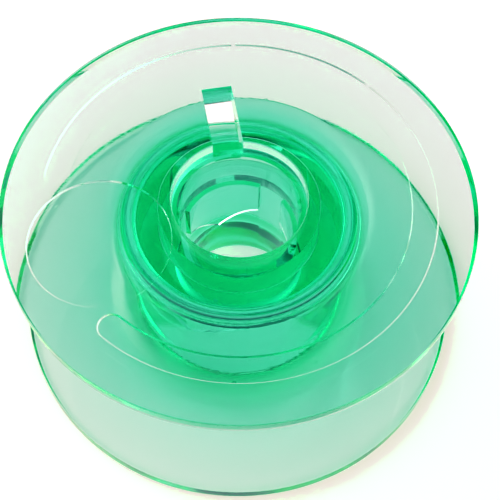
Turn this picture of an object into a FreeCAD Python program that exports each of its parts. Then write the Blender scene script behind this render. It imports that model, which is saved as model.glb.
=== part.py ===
"""Sewing-machine bobbin in clear moulded plastic: two flanged halves whose hubs telescope.

Millimetres. The bore's axis is Z, the bobbin stands on its plain flange at Z = 0, and the thread
slot in the upper flange points along +Y.
"""

import FreeCAD, Part
import math
import os

Vector = FreeCAD.Vector
AXIS = Vector(0, 0, 1)
ORIGIN = Vector(0, 0, 0)

# Flanges
flange_d = 23.0
rim_t = 0.8
rims_h = 10.0
inner_face_slope = 4.2
rim_chamfer = 0.15

# Raised land round the upper hole
land_d = 8.6
land_rise = 0.2
hole_d = 6.54
hole_chamfer = 0.1

# Winding barrel: a short collar under the slotted flange stands on the plain half's own length of it
barrel_d = 10.0
barrel_root_round = 1.8
collar_straight = 0.52
socket_d = 7.9
socket_lead = 0.25

# Inner tube, moulded with the plain flange, inside the collar's socket
tube_fit = 0.05
tube_end_depth = 0.8
tube_end_gap = 0.05
tube_end_chamfer = 0.2
tube_root_chamfer = 0.15
bore_d = 5.9
bore_flare = 0.1
bore_flare_depth = 0.8
lead_in_d = 6.54
lead_in_depth = 0.7

# Thread slot
slot_w = 1.53
slot_reach = 6.75
slot_floor_drop = 0.3

# Shallow moulded marks on the upper face
mark_depth = 0.08
band_mid_d = 17.9
band_w = 1.3
band_sweep = 301.0
pad_angle = 190.4
pad_at_r = 7.06
pad_d = 6.8

# Drive teeth inside the bore
tooth_count = 3
tooth_span = 90.0
tooth_h = 0.25
tooth_first_angle = 102.9
tooth_top_depth = 2.0
tooth_side_h = 2.2
tooth_tip_h = 3.7
tooth_sink = 0.3

# Values that follow from the sizes above
flange_r = flange_d / 2
hole_r = hole_d / 2
land_r = land_d / 2
barrel_r = barrel_d / 2
socket_r = socket_d / 2
tube_r = socket_r - tube_fit
bore_r = bore_d / 2
lead_in_r = lead_in_d / 2
slope = math.tan(math.radians(inner_face_slope))
land_z = rims_h + land_rise
root_rise = rim_t + (flange_r - barrel_r) * slope
root_z = rims_h - root_rise
seam_z = root_z - barrel_root_round - collar_straight
tube_end_z = rims_h - tube_end_depth
shoulder_z = tube_end_z + tube_end_gap
tooth_top_z = tube_end_z - tooth_top_depth
clear = flange_d


def polar(r, angle):
    """Point in the XY plane at a radius and an angle in degrees."""
    turn = math.radians(angle)
    return Vector(r * math.cos(turn), r * math.sin(turn), 0)


def sharp(r, z):
    """Plain corner of an outline."""
    return (r, z, 0, False)


def rounded(r, z, size):
    """Outline corner with a tangent arc of the given radius."""
    return (r, z, size, True)


def chamfered(r, z, size):
    """Outline corner cut off by the given length along both of its sides."""
    return (r, z, size, False)


def closed_outline(corners):
    """Closed wire in the XZ plane through corners made by sharp, rounded and chamfered."""
    points = [Vector(r, 0, z) for r, z, _, _ in corners]
    joints = []
    for i, (_, _, size, is_round) in enumerate(corners):
        here = points[i]
        back = (points[i - 1] - here).normalize()
        ahead = (points[(i + 1) % len(points)] - here).normalize()
        half = back.getAngle(ahead) / 2
        reach = size / math.tan(half) if is_round else size
        middle = None
        if is_round:
            bisector = (back + ahead).normalize()
            middle = here + bisector * (size / math.sin(half) - size)
        joints.append((here + back * reach, middle, here + ahead * reach))
    edges = []
    for i, (arrive, middle, leave) in enumerate(joints):
        if middle is not None:
            edges.append(Part.Arc(arrive, middle, leave).toShape())
        elif arrive != leave:
            edges.append(Part.LineSegment(arrive, leave).toShape())
        following = joints[(i + 1) % len(joints)][0]
        edges.append(Part.LineSegment(leave, following).toShape())
    return Part.Wire(edges)


def turned(corners):
    """Solid of revolution about Z from an outline's corners."""
    return Part.Face(closed_outline(corners)).revolve(ORIGIN, AXIS, 360)


def upper_face_layer():
    """Thin skin that follows the upper flange's conical face, as deep as the moulded marks."""
    fall = land_rise / (flange_r - land_r)
    reach = flange_r + clear
    low_z = rims_h - mark_depth - fall * clear
    return turned([
        sharp(hole_r, rims_h + fall * (flange_r - hole_r) - mark_depth),
        sharp(reach, low_z),
        sharp(reach, land_z + clear),
        sharp(hole_r, land_z + clear),
    ])


def arc_band():
    """Footprint of the C-shaped band: two arcs closed by round ends, open at the pad."""
    mid_r = band_mid_d / 2
    outer_r = mid_r + band_w / 2
    inner_r = mid_r - band_w / 2
    far = pad_angle + 180
    start = far - band_sweep / 2
    end = far + band_sweep / 2
    start_tangent = polar(band_w / 2, start - 90)
    end_tangent = polar(band_w / 2, end + 90)
    edges = [
        Part.Arc(polar(outer_r, start), polar(outer_r, far), polar(outer_r, end)).toShape(),
        Part.Arc(polar(outer_r, end), polar(mid_r, end) + end_tangent, polar(inner_r, end)).toShape(),
        Part.Arc(polar(inner_r, end), polar(inner_r, far), polar(inner_r, start)).toShape(),
        Part.Arc(polar(inner_r, start), polar(mid_r, start) + start_tangent, polar(outer_r, start)).toShape(),
    ]
    return Part.Face(Part.Wire(edges))


def round_pad():
    """Footprint of the round pad beside the hole."""
    circle = Part.Circle(polar(pad_at_r, pad_angle), AXIS, pad_d / 2)
    return Part.Face(Part.Wire(circle.toShape()))


def moulded_marks():
    """Shallow recesses of one depth, the band and the pad, set into the conical upper face."""
    layer = upper_face_layer()
    column = AXIS * (land_z + clear)
    return [face.extrude(column).common(layer) for face in (arc_band(), round_pad())]


def thread_slot():
    """Straight slot from the hole out to a flat end, through the flange and into the collar's top."""
    floor_z = root_z - slot_floor_drop
    return Part.makeBox(slot_w, slot_reach, clear, Vector(-slot_w / 2, 0, floor_z))


def slotted_half():
    """Upper flange with its hole, slot and moulded marks, and the barrel's collar with its socket."""
    body = turned([
        chamfered(hole_r, land_z, hole_chamfer),
        sharp(land_r, land_z),
        chamfered(flange_r, rims_h, rim_chamfer),
        chamfered(flange_r, rims_h - rim_t, rim_chamfer),
        rounded(barrel_r, root_z, barrel_root_round),
        sharp(barrel_r, seam_z),
        chamfered(socket_r, seam_z, socket_lead),
        sharp(socket_r, shoulder_z),
        sharp(hole_r, shoulder_z),
    ])
    return body.cut([thread_slot()] + moulded_marks())


def drive_tooth(angle):
    """Low tooth on the bore's wall: flat on top, with a pointed lower end that guides a spindle key."""
    tip_z = tooth_top_z - tooth_tip_h
    side_z = tooth_top_z - tooth_side_h
    inner = bore_r - tooth_h
    outer = bore_r + tooth_sink
    section = Part.makePolygon([
        Vector(inner, 0, tip_z),
        Vector(outer, 0, tip_z),
        Vector(outer, 0, tooth_top_z),
        Vector(inner, 0, tooth_top_z),
        Vector(inner, 0, tip_z),
    ])
    block = Part.Face(section).revolve(ORIGIN, AXIS, tooth_span)
    block.rotate(ORIGIN, AXIS, -tooth_span / 2)
    edge_y = bore_r * math.sin(math.radians(tooth_span / 2))
    fall = (side_z - tip_z) / edge_y
    reach_y = bore_r + tooth_sink
    point = Part.makePolygon([
        Vector(0, -reach_y, tip_z + fall * reach_y),
        Vector(0, 0, tip_z),
        Vector(0, reach_y, tip_z + fall * reach_y),
        Vector(0, reach_y, tooth_top_z + fall * reach_y),
        Vector(0, -reach_y, tooth_top_z + fall * reach_y),
        Vector(0, -reach_y, tip_z + fall * reach_y),
    ])
    tooth = block.common(Part.Face(point).extrude(Vector(outer, 0, 0)))
    tooth.rotate(ORIGIN, AXIS, angle)
    return tooth


def plain_half():
    """Plain lower flange with most of the barrel, the inner tube, its bore and the drive teeth."""
    body = turned([
        sharp(lead_in_r, 0),
        chamfered(flange_r, 0, rim_chamfer),
        chamfered(flange_r, rim_t, rim_chamfer),
        rounded(barrel_r, root_rise, barrel_root_round),
        sharp(barrel_r, seam_z),
        chamfered(tube_r, seam_z, tube_root_chamfer),
        chamfered(tube_r, tube_end_z, tube_end_chamfer),
        sharp(bore_r + bore_flare, tube_end_z),
        sharp(bore_r, tube_end_z - bore_flare_depth),
        sharp(bore_r, lead_in_depth),
    ])
    pitch = 360 / tooth_count
    teeth = [drive_tooth(tooth_first_angle + i * pitch) for i in range(tooth_count)]
    return body.fuse(teeth).removeSplitter()


def main():
    """Builds each moulding and writes it as one file."""
    os.makedirs("parts", exist_ok=True)
    pieces = {"slotted_flange_half": slotted_half(), "plain_flange_half": plain_half()}
    for name, shape in pieces.items():
        solid = shape.Solids[0]
        print(name, len(shape.Solids), "solid", solid.isValid(), round(solid.Volume, 3), "mm3")
        solid.exportStep("parts/%s.step" % name)


main()
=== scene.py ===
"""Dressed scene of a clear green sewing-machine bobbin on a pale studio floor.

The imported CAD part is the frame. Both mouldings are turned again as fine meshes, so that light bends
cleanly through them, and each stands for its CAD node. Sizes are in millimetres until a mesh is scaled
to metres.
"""

import logging
import math
from dataclasses import dataclass
from enum import Enum
from typing import Callable

import bmesh
import bpy
from mathutils import Matrix, Vector


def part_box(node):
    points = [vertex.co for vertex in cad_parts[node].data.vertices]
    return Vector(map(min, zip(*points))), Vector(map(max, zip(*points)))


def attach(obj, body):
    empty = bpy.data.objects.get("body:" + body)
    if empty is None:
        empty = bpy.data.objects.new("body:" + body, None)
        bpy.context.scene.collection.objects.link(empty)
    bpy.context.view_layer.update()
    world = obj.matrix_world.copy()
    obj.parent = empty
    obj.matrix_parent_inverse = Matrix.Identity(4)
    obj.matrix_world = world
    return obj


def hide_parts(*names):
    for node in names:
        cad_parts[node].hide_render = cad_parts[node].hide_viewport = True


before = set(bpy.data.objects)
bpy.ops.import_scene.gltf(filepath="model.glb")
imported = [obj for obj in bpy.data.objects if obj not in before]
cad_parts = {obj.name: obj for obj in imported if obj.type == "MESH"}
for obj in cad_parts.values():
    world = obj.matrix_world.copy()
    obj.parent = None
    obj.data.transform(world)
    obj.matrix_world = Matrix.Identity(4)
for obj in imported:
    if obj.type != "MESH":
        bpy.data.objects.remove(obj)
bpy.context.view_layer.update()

LOG = logging.getLogger("bobbin")
MM = 0.001
BODY = "root"
PLASTIC_SLOT = "clear_green_plastic"
CREASE_ANGLE = 28.0
WELD_DISTANCE = 1e-5
CUTTER_REACH = 1.0
CLEAR_WALL_BOUNCES = 40
MIRROR_BOUNCES = 24


class Edge(Enum):
    """How an outline's corner is finished."""

    SHARP = "sharp"
    ROUND = "round"
    BEVEL = "bevel"


class Combine(Enum):
    """How a second solid changes the first."""

    CUT = "DIFFERENCE"
    ADD = "UNION"
    KEEP_COMMON = "INTERSECT"


@dataclass(frozen=True)
class Corner:
    """Corner of a turned outline: radius and height, with the size of its round or bevel."""

    r: float
    z: float
    size: float = 0.0
    edge: Edge = Edge.SHARP


def outline_points(corners: list[Corner], arc_steps: int = 20) -> list[Vector]:
    """Closed outline in the half plane of a turned solid.

    Args:
        corners: The outline's corners in order.
        arc_steps: Straight pieces in each rounded corner.

    Returns:
        Points (radius, height) along the outline.
    """
    points: list[Vector] = []
    for index, corner in enumerate(corners):
        here = Vector((corner.r, corner.z))
        before = corners[index - 1]
        after = corners[(index + 1) % len(corners)]
        back = (Vector((before.r, before.z)) - here).normalized()
        ahead = (Vector((after.r, after.z)) - here).normalized()
        if corner.edge is Edge.SHARP:
            points.append(here)
        elif corner.edge is Edge.BEVEL:
            points += [here + back * corner.size, here + ahead * corner.size]
        else:
            half = back.angle(ahead) / 2
            centre = here + (back + ahead).normalized() * (corner.size / math.sin(half))
            first = here + back * (corner.size / math.tan(half)) - centre
            last = here + ahead * (corner.size / math.tan(half)) - centre
            sweep = first.angle_signed(last)
            for step in range(arc_steps + 1):
                turn = Matrix.Rotation(-sweep * step / arc_steps, 2)
                points.append(centre + turn @ first)
    return points


def mesh_object(name: str, shape: bmesh.types.BMesh) -> bpy.types.Object:
    """Object made from a shape, which is freed.

    Args:
        name: The object's name.
        shape: The shape, whose doubled points are welded.

    Returns:
        The object, linked to the scene.
    """
    bmesh.ops.remove_doubles(shape, verts=shape.verts, dist=WELD_DISTANCE)
    bmesh.ops.recalc_face_normals(shape, faces=shape.faces)
    mesh = bpy.data.meshes.new(name)
    shape.to_mesh(mesh)
    shape.free()
    made = bpy.data.objects.new(name, mesh)
    bpy.context.scene.collection.objects.link(made)
    return made


def turned(name: str, corners: list[Corner], segments: int = 360) -> bpy.types.Object:
    """Solid of revolution about the bore's axis.

    Args:
        name: The object's name.
        corners: Corners of its outline.
        segments: Steps round the axis.

    Returns:
        The solid as an object.
    """
    shape = bmesh.new()
    rings: list[list[bmesh.types.BMVert]] = []
    for point in outline_points(corners):
        ring = []
        for step in range(segments):
            turn = 2 * math.pi * step / segments
            place = (point.x * math.cos(turn), point.x * math.sin(turn), point.y)
            ring.append(shape.verts.new(place))
        rings.append(ring)
    for index, ring in enumerate(rings):
        following = rings[(index + 1) % len(rings)]
        for step in range(segments):
            ahead = (step + 1) % segments
            shape.faces.new((ring[step], ring[ahead], following[ahead], following[step]))
    return mesh_object(name, shape)


def tapered_prism(
    name: str,
    low: list[Vector],
    high: list[Vector],
    low_z: float,
    high_z: float,
) -> bpy.types.Object:
    """Upright solid between two outlines of the same number of points.

    Args:
        name: The object's name.
        low: Outline at the lower end.
        high: Outline at the upper end.
        low_z: Height of the lower end.
        high_z: Height of the upper end.

    Returns:
        The solid as an object.
    """
    shape = bmesh.new()
    floor = [shape.verts.new((p.x, p.y, low_z)) for p in low]
    roof = [shape.verts.new((p.x, p.y, high_z)) for p in high]
    shape.faces.new(floor)
    shape.faces.new(roof)
    for index in range(len(floor)):
        ahead = (index + 1) % len(floor)
        shape.faces.new((floor[index], floor[ahead], roof[ahead], roof[index]))
    return mesh_object(name, shape)


def combine(body: bpy.types.Object, tool: bpy.types.Object, how: Combine) -> None:
    """Changes a solid by a second one, which is used up.

    Args:
        body: The solid that stays.
        tool: The solid that cuts, adds or limits.
        how: What the second solid does.
    """
    modifier = body.modifiers.new(how.name.lower(), "BOOLEAN")
    modifier.operation = how.value
    modifier.solver = "EXACT"
    modifier.object = tool
    mesh = bpy.data.meshes.new_from_object(body.evaluated_get(bpy.context.evaluated_depsgraph_get()))
    body.modifiers.remove(modifier)
    body.data, old = mesh, body.data
    bpy.data.meshes.remove(old)
    bpy.data.objects.remove(tool)


def polar(r: float, angle: float) -> Vector:
    """Point at a radius and an angle in degrees."""
    return Vector((r * math.cos(math.radians(angle)), r * math.sin(math.radians(angle))))


def arc(centre: Vector, r: float, start: float, end: float, steps: int) -> list[Vector]:
    """Points along an arc, angles in degrees, both ends included."""
    return [centre + polar(r, start + (end - start) * i / steps) for i in range(steps + 1)]


@dataclass(frozen=True)
class ClearPlastic:
    """Glossy see-through moulded plastic, tinted through its whole thickness."""

    name: str = PLASTIC_SLOT
    surface_clarity: float = 0.91
    tint: tuple[float, float, float] = (0.0, 0.95, 0.66)
    tint_per_metre: float = 285.0
    refraction: float = 1.57
    polished: float = 0.0
    handled: float = 0.06
    noise_detail: float = 3.0
    flow_scale: float = 260.0
    flow_height: float = 0.006
    scratch_scale: float = 900.0
    scratch_stretch: float = 14.0
    scratch_turn: float = 0.6
    scratch_height: float = 0.001
    wear_from: float = 0.55
    wear_to: float = 0.8
    pit_scale: float = 420.0
    pit_size: float = 0.09
    pit_height: float = 0.012

    def material(self) -> bpy.types.Material:
        """Node material with flow marks, fine scratches, pits and a tint by depth.

        Returns:
            The material that both mouldings share.
        """
        material = bpy.data.materials.new(self.name)
        material.use_nodes = True
        nodes, links = material.node_tree.nodes, material.node_tree.links
        nodes.clear()
        output = nodes.new("ShaderNodeOutputMaterial")
        surface = nodes.new("ShaderNodeBsdfPrincipled")
        clarity = self.surface_clarity
        surface.inputs["Base Color"].default_value = (clarity, clarity, clarity, 1)
        surface.inputs["IOR"].default_value = self.refraction
        surface.inputs["Transmission Weight"].default_value = 1.0
        depth = nodes.new("ShaderNodeVolumeAbsorption")
        depth.inputs["Color"].default_value = (*self.tint, 1)
        depth.inputs["Density"].default_value = self.tint_per_metre
        place = nodes.new("ShaderNodeTexCoord").outputs["Object"]
        flow = self.noise(material, self.flow_scale, place)
        scratches = self.scratches(material, place)
        pits = self.pits(material, place)
        links.new(self.wear(material, scratches), surface.inputs["Roughness"])
        normal: bpy.types.NodeSocket | None = None
        for height, amount in (
            (flow, self.flow_height),
            (scratches, self.scratch_height),
            (pits, self.pit_height),
        ):
            normal = self.relief(material, height, amount, normal)
        links.new(normal, surface.inputs["Normal"])
        links.new(surface.outputs["BSDF"], output.inputs["Surface"])
        links.new(depth.outputs["Volume"], output.inputs["Volume"])
        return material

    def scratches(self, material: bpy.types.Material, place: bpy.types.NodeSocket) -> bpy.types.NodeSocket:
        """Noise drawn out along one direction.

        Args:
            material: The material that gets the nodes.
            place: Where the pattern lies.

        Returns:
            The pattern's value.
        """
        stretch = material.node_tree.nodes.new("ShaderNodeMapping")
        stretch.inputs["Scale"].default_value = (1, self.scratch_stretch, 1)
        stretch.inputs["Rotation"].default_value = (0, 0, self.scratch_turn)
        material.node_tree.links.new(place, stretch.inputs["Vector"])
        return self.noise(material, self.scratch_scale, stretch.outputs["Vector"])

    def pits(self, material: bpy.types.Material, place: bpy.types.NodeSocket) -> bpy.types.NodeSocket:
        """Small round dips, one in each cell.

        Args:
            material: The material that gets the nodes.
            place: Where the pattern lies.

        Returns:
            Height that falls to zero in a pit's middle.
        """
        nodes, links = material.node_tree.nodes, material.node_tree.links
        cells = nodes.new("ShaderNodeTexVoronoi")
        cells.inputs["Scale"].default_value = self.pit_scale
        links.new(place, cells.inputs["Vector"])
        dips = nodes.new("ShaderNodeMapRange")
        dips.interpolation_type = "SMOOTHSTEP"
        dips.inputs["From Max"].default_value = self.pit_size
        links.new(cells.outputs["Distance"], dips.inputs["Value"])
        return dips.outputs["Result"]

    def wear(self, material: bpy.types.Material, scratches: bpy.types.NodeSocket) -> bpy.types.NodeSocket:
        """Roughness that grows where the scratches are dense.

        Args:
            material: The material that gets the node.
            scratches: The scratch pattern.

        Returns:
            The roughness.
        """
        wear = material.node_tree.nodes.new("ShaderNodeMapRange")
        wear.inputs["From Min"].default_value = self.wear_from
        wear.inputs["From Max"].default_value = self.wear_to
        wear.inputs["To Min"].default_value = self.polished
        wear.inputs["To Max"].default_value = self.handled
        material.node_tree.links.new(scratches, wear.inputs["Value"])
        return wear.outputs["Result"]

    def noise(
        self,
        material: bpy.types.Material,
        scale: float,
        place: bpy.types.NodeSocket,
    ) -> bpy.types.NodeSocket:
        """Noise pattern over a material.

        Args:
            material: The material that gets the node.
            scale: Marks per metre.
            place: Where the pattern lies.

        Returns:
            The pattern's value.
        """
        pattern = material.node_tree.nodes.new("ShaderNodeTexNoise")
        pattern.inputs["Scale"].default_value = scale
        pattern.inputs["Detail"].default_value = self.noise_detail
        material.node_tree.links.new(place, pattern.inputs["Vector"])
        return pattern.outputs["Fac"]

    @staticmethod
    def relief(
        material: bpy.types.Material,
        height: bpy.types.NodeSocket,
        amount: float,
        below: bpy.types.NodeSocket | None,
    ) -> bpy.types.NodeSocket:
        """Bump made by a height pattern.

        Args:
            material: The material that gets the node.
            height: The pattern.
            amount: Height of the pattern in millimetres.
            below: Relief that it lies on, if any.

        Returns:
            The bent surface normal.
        """
        bump = material.node_tree.nodes.new("ShaderNodeBump")
        bump.inputs["Distance"].default_value = amount * MM
        material.node_tree.links.new(height, bump.inputs["Height"])
        if below is not None:
            material.node_tree.links.new(below, bump.inputs["Normal"])
        return bump.outputs["Normal"]


@dataclass(frozen=True)
class FloorPaint:
    """Matt white studio floor with a faint mottle, lit a little from below like a light table."""

    name: str = "studio_floor"
    light: float = 0.96
    dark: float = 0.94
    glow: float = 0.14
    mottle_scale: float = 400.0

    def material(self) -> bpy.types.Material:
        """Node material of the floor.

        Returns:
            The material.
        """
        material = bpy.data.materials.new(self.name)
        material.use_nodes = True
        tree = material.node_tree
        nodes, links = tree.nodes, tree.links
        surface = nodes["Principled BSDF"]
        surface.inputs["Roughness"].default_value = 1.0
        surface.inputs["Specular IOR Level"].default_value = 0.0
        surface.inputs["Emission Color"].default_value = (1, 1, 1, 1)
        surface.inputs["Emission Strength"].default_value = self.glow
        mottle = nodes.new("ShaderNodeTexNoise")
        mottle.inputs["Scale"].default_value = self.mottle_scale
        shades = nodes.new("ShaderNodeValToRGB")
        shades.color_ramp.elements[0].color = (self.dark, self.dark, self.dark, 1)
        shades.color_ramp.elements[1].color = (self.light, self.light, self.light, 1)
        links.new(mottle.outputs["Fac"], shades.inputs["Fac"])
        links.new(shades.outputs["Color"], surface.inputs["Base Color"])
        return material


@dataclass
class BobbinSizes:
    """Sizes that the two mouldings share."""

    flange_r: float
    rims_h: float = 10.0
    rim_t: float = 0.8
    inner_face_slope: float = 4.2
    rim_round: float = 0.05
    rim_under_bevel: float = 0.15
    barrel_r: float = 5.0
    root_round: float = 1.8
    collar_straight: float = 0.52
    seam_gap: float = 0.004
    socket_r: float = 3.95
    tube_fit: float = 0.01
    tube_end_depth: float = 0.8
    tube_end_gap: float = 0.004

    @property
    def root_rise(self) -> float:
        """Thickness of a flange where it meets the barrel."""
        slope = math.tan(math.radians(self.inner_face_slope))
        return self.rim_t + (self.flange_r - self.barrel_r) * slope

    @property
    def seam_z(self) -> float:
        """Height where the upper half's collar stands on the lower half's barrel."""
        return self.rims_h - self.root_rise - self.root_round - self.collar_straight

    @property
    def tube_end_z(self) -> float:
        """Height of the inner tube's upper end."""
        return self.rims_h - self.tube_end_depth


def finish_moulding(moulding: bpy.types.Object, node: str, material: bpy.types.Material) -> None:
    """Scales a moulding to metres, smooths it and puts it in its node's place.

    Args:
        moulding: The solid in millimetres.
        node: Name of the CAD node that it stands for.
        material: Its finish.
    """
    mesh = moulding.data
    mesh.transform(Matrix.Scale(MM, 4))
    mesh.shade_smooth()
    mesh.set_sharp_from_angle(angle=math.radians(CREASE_ANGLE))
    normals = moulding.modifiers.new("even_normals", "WEIGHTED_NORMAL")
    normals.keep_sharp = True
    mesh.materials.clear()
    mesh.materials.append(material)
    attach(moulding, BODY)
    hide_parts(node)


@dataclass
class SlottedFlangeHalf:
    """Upper flange with hole, thread slot and moulded marks, and the barrel's collar under it."""

    sizes: BobbinSizes
    node: str = "slotted_flange_half"
    land_r: float = 4.3
    land_rise: float = 0.2
    hole_r: float = 3.27
    hole_round: float = 0.1
    socket_lead: float = 0.01
    slot_w: float = 1.53
    slot_reach: float = 6.75
    slot_floor_drop: float = 0.3
    mark_depth: float = 0.08
    mark_draft: float = 0.75
    band_mid_r: float = 8.95
    band_half_w: float = 0.65
    band_sweep: float = 301.0
    pad_angle: float = 190.4
    pad_at_r: float = 7.06
    pad_r: float = 3.4
    mark_lift: float = 0.15
    band_steps: int = 240
    band_end_steps: int = 16
    pad_steps: int = 160

    @property
    def land_z(self) -> float:
        """Height of the raised land."""
        return self.sizes.rims_h + self.land_rise

    @property
    def root_z(self) -> float:
        """Height of the flange's underside at the barrel."""
        return self.sizes.rims_h - self.sizes.root_rise

    def face_z(self, r: float) -> float:
        """Height of the conical upper face at a radius."""
        fall = self.land_rise / (self.sizes.flange_r - self.land_r)
        return self.sizes.rims_h + fall * (self.sizes.flange_r - r)

    def outline(self) -> list[Corner]:
        """Corners of the turned moulding.

        Returns:
            The corners in order round the section.
        """
        sizes = self.sizes
        end_z = sizes.seam_z + sizes.seam_gap
        shoulder_z = sizes.tube_end_z + sizes.tube_end_gap
        return [
            Corner(self.hole_r, self.land_z, self.hole_round, Edge.ROUND),
            Corner(self.land_r, self.land_z),
            Corner(sizes.flange_r, sizes.rims_h, sizes.rim_round, Edge.ROUND),
            Corner(sizes.flange_r, sizes.rims_h - sizes.rim_t, sizes.rim_under_bevel, Edge.BEVEL),
            Corner(sizes.barrel_r, self.root_z, sizes.root_round, Edge.ROUND),
            Corner(sizes.barrel_r, end_z),
            Corner(sizes.socket_r, end_z, self.socket_lead, Edge.BEVEL),
            Corner(sizes.socket_r, shoulder_z),
            Corner(self.hole_r, shoulder_z),
        ]

    def band_outline(self, spread: float) -> list[Vector]:
        """Outline of the C-shaped band with round ends.

        Args:
            spread: How far the outline stands outside the band.

        Returns:
            Points round the band.
        """
        half_w = self.band_half_w + spread
        far = self.pad_angle + 180
        start, end = far - self.band_sweep / 2, far + self.band_sweep / 2
        origin = Vector((0, 0))
        steps, end_steps = self.band_steps, self.band_end_steps
        outer = arc(origin, self.band_mid_r + half_w, start, end, steps)
        inner = arc(origin, self.band_mid_r - half_w, end, start, steps)
        end_cap = arc(polar(self.band_mid_r, end), half_w, end, end + 180, end_steps)
        start_cap = arc(polar(self.band_mid_r, start), half_w, start + 180, start + 360, end_steps)
        return outer[:-1] + end_cap[:-1] + inner[:-1] + start_cap[:-1]

    def pad_outline(self, spread: float) -> list[Vector]:
        """Outline of the round pad, standing outside it by spread."""
        middle = polar(self.pad_at_r, self.pad_angle)
        return arc(middle, self.pad_r + spread, 0, 360, self.pad_steps)[:-1]

    def recess(self, name: str, outline: Callable[[float], list[Vector]]) -> bpy.types.Object:
        """Shallow cutter that follows the conical face, with leaning walls.

        Args:
            name: The cutter's name.
            outline: Gives the mark's outline for a spread.

        Returns:
            The cutter as an object.
        """
        sizes = self.sizes
        low_z, high_z = sizes.rims_h - self.mark_lift, self.land_z + self.mark_lift
        mid_z = self.face_z(self.band_mid_r)
        cutter = tapered_prism(
            name,
            outline((low_z - mid_z) * self.mark_draft),
            outline((high_z - mid_z) * self.mark_draft),
            low_z,
            high_z,
        )
        inner_r, outer_r = self.hole_r - CUTTER_REACH, sizes.flange_r + CUTTER_REACH
        above_z = high_z + CUTTER_REACH
        skin = turned(name + "_skin", [
            Corner(inner_r, self.face_z(inner_r) - self.mark_depth),
            Corner(outer_r, self.face_z(outer_r) - self.mark_depth),
            Corner(outer_r, above_z),
            Corner(inner_r, above_z),
        ])
        combine(cutter, skin, Combine.KEEP_COMMON)
        return cutter

    def slot_cutter(self) -> bpy.types.Object:
        """Straight slot from the hole out to a flat end, open through the flange.

        Returns:
            The cutter as an object.
        """
        half = self.slot_w / 2
        floor_z = self.root_z - self.slot_floor_drop
        outline = [
            Vector((-half, 0)),
            Vector((half, 0)),
            Vector((half, self.slot_reach)),
            Vector((-half, self.slot_reach)),
        ]
        return tapered_prism("thread_slot", outline, outline, floor_z, self.land_z + CUTTER_REACH)

    def build(self) -> bpy.types.Object:
        """Turned moulding with the slot and the marks cut in.

        Returns:
            The moulding in millimetres.
        """
        moulding = turned(self.node + "_clear", self.outline())
        combine(moulding, self.slot_cutter(), Combine.CUT)
        combine(moulding, self.recess("band", self.band_outline), Combine.CUT)
        combine(moulding, self.recess("pad", self.pad_outline), Combine.CUT)
        return moulding

    def dress(self, moulding: bpy.types.Object, material: bpy.types.Material) -> None:
        """Gives the moulding its finish and its place."""
        finish_moulding(moulding, self.node, material)


@dataclass
class PlainFlangeHalf:
    """Lower flange with most of the barrel, the inner tube, its bore and the drive teeth."""

    sizes: BobbinSizes
    node: str = "plain_flange_half"
    bore_r: float = 2.95
    bore_flare: float = 0.1
    bore_flare_depth: float = 0.8
    lead_in_r: float = 3.27
    lead_in_depth: float = 0.7
    tube_end_bevel: float = 0.02
    tube_root_bevel: float = 0.01
    tooth_count: int = 3
    tooth_span: float = 90.0
    tooth_h: float = 0.25
    tooth_first_angle: float = 102.9
    tooth_top_depth: float = 2.0
    tooth_side_h: float = 2.2
    tooth_tip_h: float = 3.7
    tooth_sink: float = 0.3
    tooth_steps: int = 90

    def outline(self) -> list[Corner]:
        """Corners of the turned moulding.

        Returns:
            The corners in order round the section.
        """
        sizes = self.sizes
        tube_r = sizes.socket_r - sizes.tube_fit
        return [
            Corner(self.lead_in_r, 0),
            Corner(sizes.flange_r, 0, sizes.rim_under_bevel, Edge.BEVEL),
            Corner(sizes.flange_r, sizes.rim_t, sizes.rim_round, Edge.ROUND),
            Corner(sizes.barrel_r, sizes.root_rise, sizes.root_round, Edge.ROUND),
            Corner(sizes.barrel_r, sizes.seam_z),
            Corner(tube_r, sizes.seam_z, self.tube_root_bevel, Edge.BEVEL),
            Corner(tube_r, sizes.tube_end_z, self.tube_end_bevel, Edge.BEVEL),
            Corner(self.bore_r + self.bore_flare, sizes.tube_end_z),
            Corner(self.bore_r, sizes.tube_end_z - self.bore_flare_depth),
            Corner(self.bore_r, self.lead_in_depth),
        ]

    def tooth(self, angle: float) -> bpy.types.Object:
        """Low tooth on the bore's wall, flat on top and pointed below.

        Args:
            angle: Direction of its middle, in degrees.

        Returns:
            The tooth as an object that reaches into the wall.
        """
        top_z = self.sizes.tube_end_z - self.tooth_top_depth
        side_z, tip_z = top_z - self.tooth_side_h, top_z - self.tooth_tip_h
        crest_r, root_r = self.bore_r - self.tooth_h, self.bore_r + self.tooth_sink
        half = self.tooth_span / 2
        edge_y = self.bore_r * math.sin(math.radians(half))
        shape = bmesh.new()
        columns: list[list[bmesh.types.BMVert]] = []
        for step in range(self.tooth_steps + 1):
            off = -half + self.tooth_span * step / self.tooth_steps
            from_middle = abs(self.bore_r * math.sin(math.radians(off))) / edge_y
            low_z = tip_z + (side_z - tip_z) * from_middle
            section = ((crest_r, low_z), (root_r, low_z), (root_r, top_z), (crest_r, top_z))
            columns.append([shape.verts.new((*polar(r, angle + off), z)) for r, z in section])
        shape.faces.new(columns[0])
        shape.faces.new(columns[-1])
        for here, ahead in zip(columns, columns[1:]):
            for side in range(len(here)):
                other = (side + 1) % len(here)
                shape.faces.new((here[side], here[other], ahead[other], ahead[side]))
        return mesh_object("tooth", shape)

    def build(self) -> bpy.types.Object:
        """Turned moulding with the teeth in its bore.

        Returns:
            The moulding in millimetres.
        """
        moulding = turned(self.node + "_clear", self.outline())
        for index in range(self.tooth_count):
            angle = self.tooth_first_angle + index * 360 / self.tooth_count
            combine(moulding, self.tooth(angle), Combine.ADD)
        return moulding

    def dress(self, moulding: bpy.types.Object, material: bpy.types.Material) -> None:
        """Gives the moulding its finish and its place."""
        finish_moulding(moulding, self.node, material)


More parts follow.
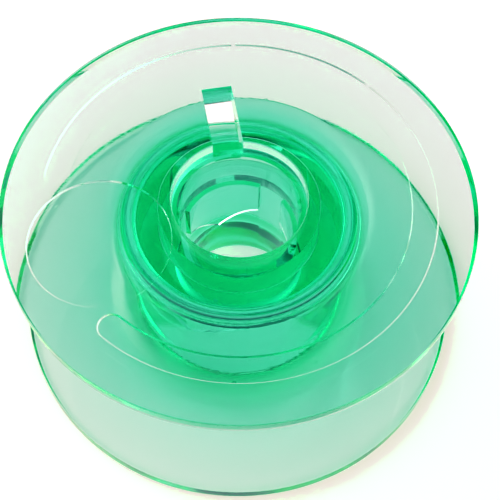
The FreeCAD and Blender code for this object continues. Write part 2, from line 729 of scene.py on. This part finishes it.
@dataclass(frozen=True)
class SoftLight:
    """Soft patch of studio light, or of shade where its strength is negative."""

    towards: tuple[float, float, float]
    tightness: float
    strength: float


@dataclass(frozen=True)
class Studio:
    """Pale floor, in metres, and soft light that leaves the mirror direction of the camera dim."""

    floor_half: float = 1.0
    floor_gap: float = 0.02 * MM
    ambient: float = 0.72
    horizon_fade: float = 0.45
    horizon_share: float = 0.2
    lights: tuple[SoftLight, ...] = (
        SoftLight((-0.6, 0.6, 0.45), 6.0, 4.0),
        SoftLight((0.8, -0.3, 0.5), 3.0, 0.88),
        SoftLight((0.1, 0.53, 0.84), 8.0, -1.48),
    )

    def floor(self, material: bpy.types.Material) -> bpy.types.Object:
        """Large floor just under the bobbin.

        Args:
            material: Its finish.

        Returns:
            The floor.
        """
        shape = bmesh.new()
        bmesh.ops.create_grid(shape, x_segments=1, y_segments=1, size=self.floor_half)
        made = mesh_object("floor", shape)
        made.location.z = -self.floor_gap
        made.data.materials.append(material)
        return made

    def light(self) -> None:
        """Sky that sums the ambient light and the soft patches, and darkens to the horizon."""
        world = bpy.data.worlds.new("studio_light")
        world.use_nodes = True
        nodes, links = world.node_tree.nodes, world.node_tree.links
        background = nodes["Background"]
        background.inputs["Color"].default_value = (1, 1, 1, 1)
        direction = nodes.new("ShaderNodeTexCoord").outputs["Generated"]
        total: bpy.types.NodeSocket | None = None
        for light in self.lights:
            facing = nodes.new("ShaderNodeVectorMath")
            facing.operation = "DOT_PRODUCT"
            facing.inputs[1].default_value = Vector(light.towards).normalized()
            links.new(direction, facing.inputs[0])
            front = self.step(world, "MAXIMUM", facing.outputs["Value"], 0.0)
            lobe = self.step(world, "POWER", front, light.tightness)
            scaled = self.step(world, "MULTIPLY", lobe, light.strength)
            total = scaled if total is None else self.step(world, "ADD", scaled, total)
        lit = self.step(world, "ADD", total, self.ambient)
        height = nodes.new("ShaderNodeSeparateXYZ")
        links.new(direction, height.inputs["Vector"])
        fade = nodes.new("ShaderNodeMapRange")
        fade.interpolation_type = "SMOOTHSTEP"
        fade.inputs["From Max"].default_value = self.horizon_fade
        fade.inputs["To Min"].default_value = self.horizon_share
        links.new(height.outputs["Z"], fade.inputs["Value"])
        dimmed = self.step(world, "MAXIMUM", lit, 0.0)
        shown = self.step(world, "MULTIPLY", dimmed, fade.outputs["Result"])
        links.new(shown, background.inputs["Strength"])
        bpy.context.scene.world = world

    @staticmethod
    def step(
        world: bpy.types.World,
        operation: str,
        first: bpy.types.NodeSocket,
        second: bpy.types.NodeSocket | float,
    ) -> bpy.types.NodeSocket:
        """One sum in the sky's nodes.

        Args:
            world: The sky.
            operation: Name of the sum.
            first: First value.
            second: Second value, a socket or a number.

        Returns:
            The result.
        """
        node = world.node_tree.nodes.new("ShaderNodeMath")
        node.operation = operation
        world.node_tree.links.new(first, node.inputs[0])
        if isinstance(second, float):
            node.inputs[1].default_value = second
        else:
            world.node_tree.links.new(second, node.inputs[1])
        return node.outputs["Value"]


@dataclass(frozen=True)
class PhotoCamera:
    """Camera at the photograph's viewpoint, aimed so that the target falls on its pixel."""

    picture_px: float = 500.0
    focal_px: float = 1109.0
    sensor_mm: float = 36.0
    azimuth: float = -10.6
    elevation: float = 57.39
    roll: float = 0.71
    distance: float = 53.36
    target_z: float = 10.0
    target_px: tuple[float, float] = (239.3, 199.4)
    nearest: float = 1.0

    def place(self) -> bpy.types.Object:
        """Adds the camera and makes it the scene's own.

        Returns:
            The camera.
        """
        data = bpy.data.cameras.new("photo_camera")
        data.sensor_fit = "HORIZONTAL"
        data.sensor_width = self.sensor_mm
        data.lens = self.focal_px / self.picture_px * self.sensor_mm
        data.clip_start = self.nearest * MM
        camera = bpy.data.objects.new("photo_camera", data)
        bpy.context.scene.collection.objects.link(camera)
        turn, tilt = math.radians(self.azimuth), math.radians(self.elevation)
        level = math.cos(tilt)
        away = Vector((math.sin(turn) * level, -math.cos(turn) * level, math.sin(tilt)))
        right = Vector((math.cos(turn), math.sin(turn), 0))
        up = right.cross(-away)
        centre = self.picture_px / 2
        aim = Vector((self.target_px[0] - centre, self.target_px[1] - centre, self.focal_px))
        swing = Vector((0, 0, 1)).rotation_difference(aim).to_matrix()
        rolled = Matrix.Rotation(math.radians(self.roll), 3, "Z")
        view = swing @ rolled @ Matrix((right, -up, -away))
        axes = Matrix((view[0], -view[1], -view[2])).transposed()
        place = (Vector((0, 0, self.target_z)) + away * self.distance) * MM
        camera.matrix_world = Matrix.Translation(place) @ axes.to_4x4()
        bpy.context.scene.camera = camera
        return camera


@dataclass(frozen=True)
class Grade:
    """Colour response of the picture: deep tints lose their red first, and white stays white."""

    red: tuple[tuple[float, float], ...] = (
        (0.03, 0.005),
        (0.08, 0.026),
        (0.18, 0.11),
        (0.28, 0.26),
        (0.65, 0.77),
    )
    green: tuple[tuple[float, float], ...] = (
        (0.3, 0.29),
        (0.6, 0.6),
        (0.8, 0.745),
        (0.94, 0.84),
        (0.975, 0.97),
    )
    blue: tuple[tuple[float, float], ...] = (
        (0.3, 0.3),
        (0.5, 0.49),
        (0.62, 0.59),
        (0.82, 0.755),
        (0.93, 0.94),
    )

    def apply(self) -> None:
        """Bends each channel through its points, given in linear light."""
        look = bpy.context.scene.view_settings
        look.view_transform = "Standard"
        look.use_curve_mapping = True
        for curve, points in zip(look.curve_mapping.curves, (self.red, self.green, self.blue)):
            for level, shown in points:
                curve.points.new(level, shown)
        look.curve_mapping.update()


def set_light_paths() -> None:
    """Light paths deep enough for stacked clear walls."""
    cycles = bpy.context.scene.cycles
    cycles.blur_glossy = 0.0
    cycles.max_bounces = CLEAR_WALL_BOUNCES
    cycles.transmission_bounces = CLEAR_WALL_BOUNCES
    cycles.glossy_bounces = MIRROR_BOUNCES


def main() -> None:
    """Builds the bobbin, its floor, light and camera."""
    logging.basicConfig(level=logging.INFO, format="%(name)s: %(message)s")
    _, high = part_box("plain_flange_half")
    sizes = BobbinSizes(flange_r=high.x / MM)
    plastic = ClearPlastic().material()
    for half in (SlottedFlangeHalf(sizes), PlainFlangeHalf(sizes)):
        moulding = half.build()
        half.dress(moulding, plastic)
        LOG.info("%s: %d faces", moulding.name, len(moulding.data.polygons))
    studio = Studio()
    floor = studio.floor(FloorPaint().material())
    studio.light()
    LOG.info("%s placed", floor.name)
    PhotoCamera().place()
    set_light_paths()
    Grade().apply()


if __name__ == "__main__":
    main()
